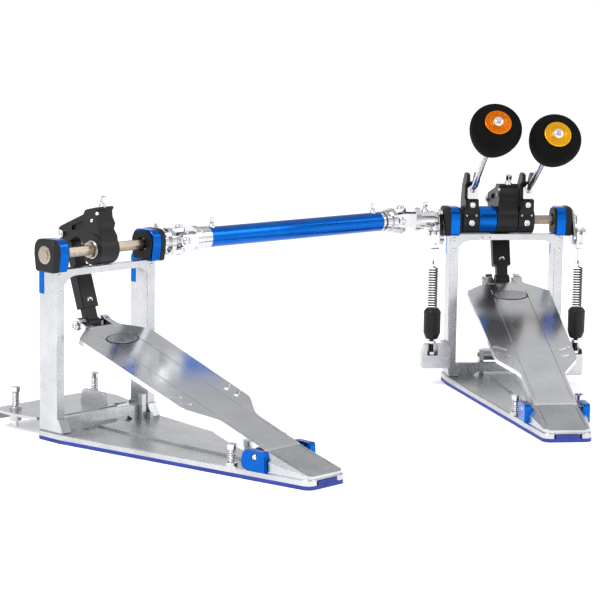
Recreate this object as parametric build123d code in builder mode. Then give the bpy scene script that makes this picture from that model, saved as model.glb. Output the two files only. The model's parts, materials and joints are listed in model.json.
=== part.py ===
from build123d import *
import os
from math import atan2, cos, degrees, radians, sin

# A double bass drum pedal, in millimetres. Each pedal has its own frame: X runs along
# its axle, +Y points from the heel to the drum, Z is up, and the origin is on the floor
# under the middle of the axle. The main pedal stands at the world origin. The second
# pedal stands to its left, turned towards the player, and drives the left beater through
# a telescopic shaft with a universal joint at each end.

# ---- where the pedals stand -------------------------------------------------------
SECOND_X, SECOND_Y, SECOND_TURN = -483.8, -247.5, 38.95

# ---- frame of each pedal ----------------------------------------------------------
AXLE_Z = 195.0
POST_IN, POST_OUT = 57.4, 68.0
POST_FRONT, POST_REAR = -8.0, 19.5
POST_TOP = 177.2
POST_SCREW_X, POST_SCREWS_Z = 62.9, (160.0, 173.0)
CROSSBAR_TOP, CROSSBAR_BOTTOM, CROSSBAR_REAR = 178.7, 171.7, 0.5
GUSSET_Z, GUSSET_MID_Z = 161.0, 168.6
MEMBER_TOP, MEMBER_ARCH = 24.5, 14.0
BASE_REAR_HALF, BASE_REAR_Y = 70.2, 21.0
BASE_HEEL_HALF, BASE_HEEL_Y = 25.5, -327.5
BASE_RADII = [9, 40, 5, 5, 40, 9]
RUBBER_TOP, BASE_TOP = 4.0, 10.0
ANCHOR_X, ANCHOR_Y, ANCHOR_R, ANCHOR_TOP = 35.0, -231.9, 2.9, 31.7

# ---- footboard and heel -----------------------------------------------------------
HINGE_Y, HINGE_Z = -263.6, 23.7
HINGE_PIN_R = 3.5
HEEL_FRONT_Z = 12.8
COVER_X0, COVER_X1 = 28.3, 35.8
COVER_BACK, COVER_AHEAD = 14.0, 19.0
SLOPES = {"right": 19.17, "left": 17.74}
TOE_REACH = 294.2
TOE_PIN_R = 3.0
BOARD_TOP = 6.2
BOARD_THICK = 5.0
GROOVE_X, GROOVE_WIDE, GROOVE_DEEP = 20.5, 1.2, 0.9

# ---- axle, cam and link -----------------------------------------------------------
HEX_ACROSS = 10.0
JOURNAL_R = 4.95
HUB_R = 16.0
# Profiles on the cam are measured from the axle; each cam is then turned about it.
CAM_PIN_Y, CAM_PIN_RISE = 49.4, 12.0
CAM_TURNS = {"right": 8.35, "left": 0.0}
CAM_PIN_R = 3.0
FORK_IN, FORK_OUT, CAM_FACE = 7.3, 12.0, 10.8
HOUSING_IN, HOUSING_OUT, COVER_OUT = 57.8, 69.2, 76.7
HOUSING_Y, HOUSING_HIGH = 0.6, 33.4
STRIP_Y, STRIP_BOTTOM = 11.0, 153.0
BEARING_R, BEARING_HALF = 11.0, 4.5
FIT = 0.05

# ---- beaters ----------------------------------------------------------------------
SHAFT_R = 3.4
CLAMP_Y, CLAMP_Z = -12.0, 228.0
BEATER_REACH = 146.0
LEFT_BEATER_X, LEFT_BEATER_RISE = -44.5, 34.9
RIGHT_BEATER_X, RIGHT_BEATER_RISE = 21.5, 29.8
HEAD_R, HEAD_FLAT_R, HEAD_TOP, HEAD_FOOT_R, HEAD_FOOT = 29.3, 22.4, 14.5, 16.8, 34.6
DISC_R = 15.0

# ---- return springs ---------------------------------------------------------------
LEFT_SPRING_X, RIGHT_SPRING_X, SPRING_Y = -89.0, 84.7, -17.0
ARM_PIN_Z = 182.0
COIL_R = 5.9
COIL_BOTTOM, COIL_TOP = 93.0, 142.0
BARREL_R, BARREL_BOTTOM = 10.0, 55.5
STEM_R = 2.4

# ---- hoop clamp -------------------------------------------------------------------
HOOP_PIVOT_Y, HOOP_PIVOT_Z, HOOP_PIN_R = 12.0, 31.0, 2.5

# ---- drive shaft ------------------------------------------------------------------
JOINT_OUT_RIGHT, JOINT_OUT_LEFT = 126.6, 108.9
CROSS_R = 9.0
EAR_IN, EAR_OUT, EAR_R = 9.4, 14.0, 6.8
CROSS_PIN_R = 2.6
TUBE_R, TUBE_BORE_R, ROD_R = 11.2, 9.0, 8.92

# ---- outrigger of the second pedal -------------------------------------------------
OUTRIGGER_LOW, OUTRIGGER_TOP, OUTRIGGER_THICK = 8.0, 20.0, 3.0
OUTRIGGER_BOLTS = [(-53, 78, 1.0, 44.0), (62, 84, 1.0, 44.0)]

os.makedirs("parts", exist_ok=True)

MAIN = Plane.XY
SECOND = Plane(
    origin=(SECOND_X, SECOND_Y, 0),
    x_dir=(cos(radians(SECOND_TURN)), sin(radians(SECOND_TURN)), 0),
    z_dir=(0, 0, 1),
)


def board_plane(side):
    """A board's own plane: x across it, y from the hinge pin to the toe, z out of its top."""
    slope = radians(SLOPES[side])
    return Plane(origin=(0, HINGE_Y, HINGE_Z), x_dir=(1, 0, 0), z_dir=(0, -sin(slope), cos(slope)))


def toe_pivot(side):
    """The Y and Z of a board's toe pivot."""
    slope = radians(SLOPES[side])
    return HINGE_Y + TOE_REACH * cos(slope), HINGE_Z + TOE_REACH * sin(slope)


def on_cam(side, corners):
    """Cam points, measured from the axle, as Y and Z once the cam is turned on the axle."""
    turn = radians(CAM_TURNS[side])
    return [(y * cos(turn) - z * sin(turn), AXLE_Z + y * sin(turn) + z * cos(turn)) for y, z in corners]


def save(piece, name, frame=MAIN):
    """Place a finished piece in its pedal's frame, label it and write it."""
    placed = frame.from_local_coords(piece.part)
    placed.label = name
    export_step(placed, f"parts/{name}.step")


# ---- small shape helpers, used inside a part block ---------------------------------
def cylinder(plane, radius, length, mode=Mode.ADD):
    with BuildSketch(plane) as disc:
        Circle(radius)
    extrude(disc.sketch, amount=length, mode=mode)


def along_x(x0, x1, y, z, radius, mode=Mode.ADD):
    cylinder(Plane(origin=(x0, y, z), z_dir=(1, 0, 0)), radius, x1 - x0, mode)


def upright(x, y, z0, z1, radius, mode=Mode.ADD):
    cylinder(Plane(origin=(x, y, z0)), radius, z1 - z0, mode)


def block(x0, x1, y0, y1, z0, z1, mode=Mode.ADD):
    with BuildSketch(Plane.XY.offset(z0)) as face:
        with Locations(((x0 + x1) / 2, (y0 + y1) / 2)):
            Rectangle(x1 - x0, y1 - y0)
    extrude(face.sketch, amount=z1 - z0, mode=mode)


def side_plate(x0, x1, corners, radii=0.0, mode=Mode.ADD):
    """A plate across X whose outline is drawn in Y and Z, with rounded corners."""
    with BuildSketch(Plane.YZ.offset(x0)) as face:
        with BuildLine():
            outline(corners, radii)
        make_face()
    extrude(face.sketch, amount=x1 - x0, mode=mode)


def flat_plate(plane, depth, corners, radii=0.0, mode=Mode.ADD):
    """A plate on a plane whose outline has rounded corners."""
    with BuildSketch(plane) as face:
        with BuildLine():
            outline(corners, radii)
        make_face()
    extrude(face.sketch, amount=depth, mode=mode)


def outline(corners, radii):
    if radii:
        FilletPolyline(*corners, radius=radii, close=True)
    else:
        Polyline(*corners, close=True)


def hexagon_x(x0, x1, across, mode=Mode.ADD):
    """A hexagonal bar along the axle line."""
    with BuildSketch(Plane.YZ.offset(x0)) as face:
        with Locations((0, AXLE_Z)):
            RegularPolygon(across / 2, 6, major_radius=False)
    extrude(face.sketch, amount=x1 - x0, mode=mode)


def both_sides(corners):
    """An outline given on its right half, closed by its mirror image."""
    return corners + [(-x, y) for x, y in reversed(corners)]


# ---- pieces that both pedals have --------------------------------------------------
def base_outline(inset=0.0):
    return both_sides([
        (BASE_HEEL_HALF - inset, BASE_HEEL_Y + inset),
        (BASE_REAR_HALF - inset, POST_FRONT - 6),
        (BASE_REAR_HALF - inset, BASE_REAR_Y - inset),
    ])


NOTCH = [(-16, BASE_HEEL_Y - 1), (16, BASE_HEEL_Y - 1), (13, BASE_HEEL_Y + 3), (-13, BASE_HEEL_Y + 3)]


def rubber_plate(side, frame):
    """The blue under-plate, with the tongue that shows in the heel's notch."""
    with BuildPart() as plate:
        flat_plate(Plane.XY, RUBBER_TOP, base_outline(), BASE_RADII)
        tongue = [(-12.8, BASE_HEEL_Y + 0.4), (12.8, BASE_HEEL_Y + 0.4),
                  (11.5, BASE_HEEL_Y + 2.8), (-11.5, BASE_HEEL_Y + 2.8)]
        flat_plate(Plane.XY.offset(RUBBER_TOP), 4.0, tongue)
        for x in (-ANCHOR_X, ANCHOR_X):
            upright(x, ANCHOR_Y, -1, RUBBER_TOP + 1, ANCHOR_R + FIT, Mode.SUBTRACT)
    save(plate, f"{side}_rubber_plate", frame)


def base_plate(side, frame, rear_bosses):
    """The alloy base: a flat wedge with bosses for the anchor bolts and bearing lugs."""
    with BuildPart() as plate:
        flat_plate(Plane.XY.offset(RUBBER_TOP), BASE_TOP - RUBBER_TOP, base_outline(), BASE_RADII)
        chamfer(plate.faces().sort_by(Axis.Z)[-1].edges(), 1.0)
        flat_plate(Plane.XY.offset(RUBBER_TOP - 1), 6.0, NOTCH, mode=Mode.SUBTRACT)
        for x in (-ANCHOR_X, ANCHOR_X):
            upright(x, ANCHOR_Y, BASE_TOP - 1, BASE_TOP + 3.5, 6.0)
            upright(x, ANCHOR_Y, 0, BASE_TOP + 9, ANCHOR_R + FIT, Mode.SUBTRACT)
        # a shallow raised rib down the middle, under the board
        flat_plate(Plane.XY.offset(BASE_TOP - 1), 3.0,
                   both_sides([(9, -238), (17, -60), (17, -14)]), [3, 3, 3, 3, 3, 3])
        for corners, top in rear_bosses:
            flat_plate(Plane.XY.offset(BASE_TOP - 1), top - BASE_TOP + 1, corners)
        if side == "right":
            hoop_tongue()
    save(plate, f"{side}_base_plate", frame)


def hoop_tongue():
    """The lower jaw behind the base, and two lugs that carry the upper jaw's pin."""
    block(-21, 21, BASE_REAR_Y - 2, BASE_REAR_Y + 24, RUBBER_TOP, BASE_TOP)
    for x in (-26, 21):
        side_plate(x, x + 5, [(HOOP_PIVOT_Y - 7, BASE_TOP - 1), (HOOP_PIVOT_Y + 7, BASE_TOP - 1),
                              (HOOP_PIVOT_Y + 5, HOOP_PIVOT_Z + 6), (HOOP_PIVOT_Y - 5, HOOP_PIVOT_Z + 6)])
    along_x(-27, 27, HOOP_PIVOT_Y, HOOP_PIVOT_Z, HOOP_PIN_R + FIT, Mode.SUBTRACT)


def heel_plate(side, frame):
    """The heel wedge: flat between the grooves, falling away to the base at both sides."""
    top_front, top_rear = HEEL_FRONT_Z, HINGE_Z + BOARD_TOP
    with BuildPart() as heel:
        side_plate(-36, 36, [(BASE_HEEL_Y + 1, BASE_TOP), (HINGE_Y + 1, BASE_TOP),
                             (HINGE_Y + 1, top_rear), (BASE_HEEL_Y + 1, top_front)])
        flat_plate(Plane.XY.offset(BASE_TOP - 1), 40, base_outline(1.2), BASE_RADII, Mode.INTERSECT)
        rise = top_rear - top_front
        run = HINGE_Y - BASE_HEEL_Y
        for hand in (-1, 1):
            along = Vector(0, run, rise)
            down = Vector(hand * 1.0, 0, -0.72)
            edge = Vector(hand * (GROOVE_X + 3.0), BASE_HEEL_Y + 1, top_front)
            split(bisect_by=Plane(origin=edge, x_dir=along, z_dir=along.cross(down) * hand), keep=Keep.TOP)
        along_x(-40, 40, HINGE_Y, HINGE_Z, BOARD_TOP + 0.6, Mode.SUBTRACT)
        block(-40, 40, HINGE_Y - 3, HINGE_Y + 5, BASE_TOP - 1, HINGE_Z, Mode.SUBTRACT)
        # the blue hinge covers stand in two pockets
        for x in (-COVER_X1 - 0.3, COVER_X0 - 0.3):
            block(x, x + COVER_X1 - COVER_X0 + 0.6, HINGE_Y - COVER_BACK - 0.3, HINGE_Y + 5, BASE_TOP - 1, 60,
                  Mode.SUBTRACT)
        angle = degrees(atan2(rise, run))
        for x in (-GROOVE_X, GROOVE_X):
            lane = Plane(origin=(x, BASE_HEEL_Y + 1, top_front), x_dir=(1, 0, 0),
                         z_dir=(0, -sin(radians(angle)), cos(radians(angle))))
            with BuildSketch(lane.offset(-GROOVE_DEEP)) as groove:
                with Locations((0, 40)):
                    Rectangle(GROOVE_WIDE, 60)
            extrude(groove.sketch, amount=5, mode=Mode.SUBTRACT)
    save(heel, f"{side}_heel_plate", frame)


def hinge_covers(side, frame):
    """Two blue D-shaped blocks that carry the hinge pin."""
    with BuildPart() as covers:
        for x in (-COVER_X1, COVER_X0):
            side_plate(x, x + COVER_X1 - COVER_X0,
                       [(HINGE_Y - COVER_BACK, BASE_TOP), (HINGE_Y + COVER_AHEAD, BASE_TOP),
                        (HINGE_Y + COVER_AHEAD - 3.5, HINGE_Z + BOARD_TOP),
                        (HINGE_Y - COVER_BACK + 1, HINGE_Z + BOARD_TOP)], [0.6, 6, 9, 3])
        along_x(-50, 50, HINGE_Y, HINGE_Z, HINGE_PIN_R + FIT, Mode.SUBTRACT)
    save(covers, f"{side}_hinge_covers", frame)


def hinge_pin(side, frame):
    with BuildPart() as pin:
        along_x(-COVER_X1 + 1.5, COVER_X1 - 1.5, HINGE_Y, HINGE_Z, HINGE_PIN_R)
    save(pin, f"{side}_hinge_pin", frame)


def frame_casting(side, frame):
    """Two posts with flared feet, joined by a gusseted crossbar and an arched cross member."""
    with BuildPart() as casting:
        for hand in (-1, 1):
            x0, x1 = sorted((hand * POST_IN, hand * POST_OUT))
            flat_plate(Plane.XY.offset(BASE_TOP), POST_TOP - BASE_TOP,
                       [(x0, POST_FRONT), (x1, POST_FRONT), (x1, POST_REAR), (x0, POST_REAR)], 0.9)
            x0, x1 = sorted((hand * (POST_IN - 1.5), hand * (POST_OUT - 0.4)))
            side_plate(x0, x1, [(POST_FRONT - 9, BASE_TOP), (POST_REAR + 0.8, BASE_TOP),
                                (POST_REAR + 0.8, MEMBER_TOP), (POST_FRONT - 2, MEMBER_TOP)], [0.8, 0.8, 2, 2])
        # the crossbar, with an arc under each end
        half = POST_IN + 1
        with BuildSketch(Plane.XZ.offset(-CROSSBAR_REAR)) as bar:
            with BuildLine():
                Polyline((-half, GUSSET_Z), (-half, CROSSBAR_TOP), (half, CROSSBAR_TOP), (half, GUSSET_Z))
                ThreePointArc((half, GUSSET_Z), (51.5, GUSSET_MID_Z), (41, CROSSBAR_BOTTOM))
                Line((41, CROSSBAR_BOTTOM), (-41, CROSSBAR_BOTTOM))
                ThreePointArc((-41, CROSSBAR_BOTTOM), (-51.5, GUSSET_MID_Z), (-half, GUSSET_Z))
            make_face()
        extrude(bar.sketch, amount=CROSSBAR_REAR - POST_FRONT)
        for x in (-HOUSING_OUT - 1, HOUSING_IN):
            block(x, x + HOUSING_OUT - HOUSING_IN + 1, -30, 30, POST_TOP, POST_TOP + 5, Mode.SUBTRACT)
        # the cross member between the feet
        with BuildSketch(Plane.XZ.offset(-POST_FRONT - 8)) as member:
            with BuildLine():
                outline([(-POST_IN, BASE_TOP), (-36, BASE_TOP), (-31, MEMBER_ARCH), (31, MEMBER_ARCH),
                         (36, BASE_TOP), (POST_IN, BASE_TOP), (POST_IN, MEMBER_TOP), (-POST_IN, MEMBER_TOP)],
                        [0.5, 1.5, 1.5, 1.5, 1.5, 0.5, 0.5, 0.5])
            make_face()
        extrude(member.sketch, amount=8)
        # the notches that the housings' strips fill
        for x in (-POST_IN - 18, POST_IN - 2):
            block(x, x + 20, STRIP_Y - FIT, POST_REAR + 2, STRIP_BOTTOM - FIT, POST_TOP + 1, Mode.SUBTRACT)
        for x in (-POST_SCREW_X, POST_SCREW_X):
            for z in POST_SCREWS_Z:
                cylinder(Plane(origin=(x, POST_FRONT + 4, z), z_dir=(0, -1, 0)), 1.3, 10, Mode.SUBTRACT)
        if side == "right":
            for x in (-29.3, -20.5):
                cylinder(Plane(origin=(x, POST_FRONT + 3, CROSSBAR_TOP - 4), z_dir=(0, -1, 0)), 0.9, 10, Mode.SUBTRACT)
    save(casting, f"{side}_frame", frame)


def housing_plate(x0, x1, grow=0.0, mode=Mode.ADD):
    """A plate with the housing's shield outline: full at the shoulders, narrower at its foot."""
    right = [(14.6 + grow, POST_TOP - grow), (17.2 + grow, POST_TOP + 18),
             (15.8 + grow, POST_TOP + HOUSING_HIGH + grow)]
    corners = [(HOUSING_Y + y, z) for y, z in both_sides(right)]
    side_plate(x0, x1, corners, [3, 12, 9.5, 9.5, 12, 3], mode)


def bearing_rings(side, frame):
    """Blue housings on the post tops, each with a strip down the back of its post."""
    with BuildPart() as rings:
        for x in (-HOUSING_OUT, HOUSING_IN):
            housing_plate(x, x + HOUSING_OUT - HOUSING_IN)
        chamfer(rings.faces().filter_by(Axis.X).edges(), 0.6)
        for x in (-POST_OUT, HOUSING_IN):
            side_plate(x, x + POST_OUT - HOUSING_IN,
                       [(STRIP_Y, STRIP_BOTTOM), (POST_REAR, STRIP_BOTTOM), (POST_REAR, POST_TOP + 3),
                        (STRIP_Y + 5, POST_TOP + 9), (STRIP_Y, POST_TOP + 9)])
        along_x(-90, 90, 0, AXLE_Z, BEARING_R, Mode.SUBTRACT)
    save(rings, f"{side}_bearing_rings", frame)


def bearings(side, frame):
    """A ball bearing in each housing, its races and shield as one ring."""
    middle = (HOUSING_IN + HOUSING_OUT) / 2
    with BuildPart() as races:
        for x in (-middle, middle):
            along_x(x - BEARING_HALF, x + BEARING_HALF, 0, AXLE_Z, BEARING_R - FIT)
        along_x(-90, 90, 0, AXLE_Z, JOURNAL_R + FIT, Mode.SUBTRACT)
    save(races, f"{side}_bearings", frame)


def bearing_covers(side, frame):
    """Black caps outside the housings, and thin black flanges inside them."""
    with BuildPart() as covers:
        for hand in (-1, 1):
            x0, x1 = sorted((hand * HOUSING_OUT, hand * COVER_OUT))
            housing_plate(x0, x1, 0.2)
            x0, x1 = sorted((hand * (HOUSING_IN - 2.3), hand * HOUSING_IN))
            housing_plate(x0, x1, -2.0)
        outer = covers.faces().filter_by(Axis.X).sort_by(Axis.X)
        chamfer([outer[0].outer_wire().edges(), outer[-1].outer_wire().edges()], 1.6)
        along_x(-90, 90, 0, AXLE_Z, 7.5, Mode.SUBTRACT)
    save(covers, f"{side}_bearing_covers", frame)


def anchor_bolts(side, frame, extra=()):
    """Sprung anchor bolts through the base, with round slotted heads."""
    with BuildPart() as bolts:
        heel = [(x, ANCHOR_Y, 1.0, ANCHOR_TOP) for x in (-ANCHOR_X, ANCHOR_X)]
        for x, y, tip, top in [*heel, *extra]:
            upright(x, y, tip, top - 4.5, ANCHOR_R)
            upright(x, y, top - 5, top, 5.0)
            block(x - 0.6, x + 0.6, y - 6, y + 6, top - 1.4, top + 1, Mode.SUBTRACT)
    save(bolts, f"{side}_anchor_bolts", frame)


def footboard(side, frame):
    """The long polished board: its wings, hinge barrel, side ribs, slots, grooves and toe ears."""
    plane = board_plane(side)
    toe_y, toe_z = toe_pivot(side)
    top = plane.offset(BOARD_TOP - BOARD_THICK)
    edge = both_sides([(24, -1), (24.5, 64), (46, 95), (49.2, 256), (38, 265), (21.5, 277), (20.6, 300)])
    radii = [0.5, 24, 12, 3, 6, 8, 4]
    with BuildPart() as board:
        flat_plate(top, BOARD_THICK, edge, radii + radii[::-1])
        # the hinge barrel, cut back so that the board turns clear of the heel
        along_x(-24, 24, HINGE_Y, HINGE_Z, BOARD_TOP)
        # side ribs under the lower half
        for x in (-23.6, 19.6):
            rib = Plane(origin=plane.from_local_coords((x, 0, 0)), x_dir=plane.y_dir, z_dir=(1, 0, 0))
            with BuildSketch(rib) as web:
                with BuildLine():
                    Polyline((0, -4), (0, BOARD_TOP - 3), (150, BOARD_TOP - 3), (142, 0.5))
                    Spline((142, 0.5), (96, -9), (40, -9.5), (0, -4))
                make_face()
            extrude(web.sketch, amount=4.0)
        # two ears at the toe, round the toe pivot
        for x in (-20.6, 12.6):
            ear = Plane(origin=plane.from_local_coords((x, 0, 0)), x_dir=plane.y_dir, z_dir=(1, 0, 0))
            with BuildSketch(ear) as lobe:
                with Locations((TOE_REACH, 0)):
                    Circle(8.0)
                with Locations((TOE_REACH - 10, 0.75)):
                    Rectangle(22, 11.5)
            extrude(lobe.sketch, amount=8.0)
        # room for the link between the ears
        flat_plate(plane.offset(-12), 30, [(-12.6, 277), (12.6, 277), (12.6, 314), (-12.6, 314)], mode=Mode.SUBTRACT)
        # slanted slots in the wings
        with BuildSketch(top.offset(-1)) as slots:
            for hand in (-1, 1):
                for reach in (104, 119):
                    with Locations((hand * 37, reach)):
                        SlotOverall(16, 4.2, rotation=hand * 28)
        extrude(slots.sketch, amount=10, mode=Mode.SUBTRACT)
        # grooves along the tread
        with BuildSketch(plane.offset(BOARD_TOP - GROOVE_DEEP)) as grooves:
            for x in (-GROOVE_X, GROOVE_X):
                with Locations((x, 132)):
                    Rectangle(GROOVE_WIDE, 250)
        extrude(grooves.sketch, amount=4, mode=Mode.SUBTRACT)
        along_x(-30, 30, HINGE_Y, HINGE_Z, HINGE_PIN_R + FIT, Mode.SUBTRACT)
        along_x(-30, 30, toe_y, toe_z, TOE_PIN_R + FIT, Mode.SUBTRACT)
    save(board, f"{side}_footboard", frame)


def toe_pins(side, frame):
    """A short headed pin in each toe ear."""
    toe_y, toe_z = toe_pivot(side)
    with BuildPart() as pins:
        for hand in (-1, 1):
            x0, x1 = sorted((hand * 11.2, hand * 22.0))
            along_x(x0, x1, toe_y, toe_z, TOE_PIN_R)
            x0, x1 = sorted((hand * 21.7, hand * 23.6))
            along_x(x0, x1, toe_y, toe_z, 5.0)
    save(pins, f"{side}_toe_pins", frame)


def cam(side, frame):
    """The drive cam: a hub on the axle, an ear for its screw, and an arm that forks over the link."""
    profile = [(57.4, 9.0), (54.5, 18.9), (15.7, 35.3), (12.4, 40.6), (-8.4, 45.3), (-4.0, 39.6), (-4.8, 32.9),
               (-9.1, 26.6), (-6.9, 20.6), (-12.4, 13.6), (-13.0, 0.0), (6.0, -5.0), (15.0, 2.0), (24.0, 13.0),
               (40.4, 4.0), (CAM_PIN_Y, CAM_PIN_RISE - 9)]
    radii = [5, 5, 2.5, 3, 1.5, 1.5, 1.5, 1.5, 1.5, 1, 1, 1, 4, 4, 3, 3]
    slot = [(37.9, -8), (72, -8), (72, 36), (37.9, 36)]
    recess = [(34, 17), (34, 22), (16, 28.5), (13, 22)]
    (pin_y, pin_z), = on_cam(side, [(CAM_PIN_Y, CAM_PIN_RISE)])
    with BuildPart() as body:
        along_x(-13.5, CAM_FACE, 0, AXLE_Z, HUB_R)
        side_plate(-FORK_OUT, CAM_FACE, on_cam(side, profile), radii)
        side_plate(-FORK_IN, FORK_IN, on_cam(side, slot), mode=Mode.SUBTRACT)
        side_plate(-FORK_OUT - 1, -FORK_OUT + 2.5, on_cam(side, recess), mode=Mode.SUBTRACT)
        along_x(-30, 30, pin_y, pin_z, CAM_PIN_R + FIT, Mode.SUBTRACT)
        hexagon_x(-30, 30, HEX_ACROSS + 2 * FIT, Mode.SUBTRACT)
    save(body, f"{side}_cam", frame)


def link(side, frame):
    """The drive link, hung from the cam behind the crossbar: narrow above, wide in the middle."""
    (cam_y, cam_z), = on_cam(side, [(CAM_PIN_Y, CAM_PIN_RISE)])
    toe_y, toe_z = toe_pivot(side)
    reach = Vector(0, toe_y - cam_y, toe_z - cam_z)
    # on this plane, x runs from the cam pin down to the toe pivot
    across = Plane(origin=(0, cam_y, cam_z), x_dir=reach.normalized(), z_dir=(1, 0, 0))
    with BuildPart() as bar:
        along_x(-FORK_IN + 0.35, FORK_IN - 0.35, cam_y, cam_z, 8.2)
        for half, start, end, thick in [(7.0, 0, 40, 5.0), (10.6, 36, 82, 6.2), (6.6, 78, reach.length, 4.8)]:
            with BuildSketch(across.offset(-half)) as web:
                with Locations(((start + end) / 2, 0)):
                    Rectangle(end - start, 2 * thick)
            extrude(web.sketch, amount=2 * half)
        along_x(-8.4, 8.4, toe_y, toe_z, 6.6)
        along_x(-30, 30, cam_y, cam_z, CAM_PIN_R + FIT, Mode.SUBTRACT)
        along_x(-30, 30, toe_y, toe_z, TOE_PIN_R + FIT, Mode.SUBTRACT)
        wide = bar.faces().filter_by(Axis.X).sort_by(Axis.X)
        chamfer([wide[0].edges(), wide[-1].edges()], 1.0)
    save(bar, f"{side}_link", frame)


def link_pin(side, frame):
    """The pin that joins the cam's fork to the link."""
    (cam_y, cam_z), = on_cam(side, [(CAM_PIN_Y, CAM_PIN_RISE)])
    with BuildPart() as pin:
        along_x(-FORK_OUT - 1.2, CAM_FACE + 1.2, cam_y, cam_z, CAM_PIN_R)
        for x in (-FORK_OUT - 3.2, CAM_FACE + 0.3):
            along_x(x, x + 2.9, cam_y, cam_z, 4.4)
    save(pin, f"{side}_link_pin", frame)


def journal_axle(x0, x1, journals, collar=None):
    """A hexagonal axle, turned down to round journals where it runs in bearings."""
    hexagon_x(x0, x1, HEX_ACROSS)
    for a, b in journals:
        with BuildSketch(Plane.YZ.offset(a)) as ring:
            with Locations((0, AXLE_Z)):
                Circle(12)
                Circle(JOURNAL_R, mode=Mode.SUBTRACT)
        extrude(ring.sketch, amount=b - a, mode=Mode.SUBTRACT)
    if collar:
        along_x(collar[0], collar[1], 0, AXLE_Z, 8.2)


def build_pedal(side, frame, rear_bosses, extra_bolts=()):
    rubber_plate(side, frame)
    base_plate(side, frame, rear_bosses)
    heel_plate(side, frame)
    hinge_covers(side, frame)
    hinge_pin(side, frame)
    frame_casting(side, frame)
    bearing_rings(side, frame)
    bearings(side, frame)
    bearing_covers(side, frame)
    anchor_bolts(side, frame, extra_bolts)
    footboard(side, frame)
    toe_pins(side, frame)
    cam(side, frame)
    link(side, frame)
    link_pin(side, frame)


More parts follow.
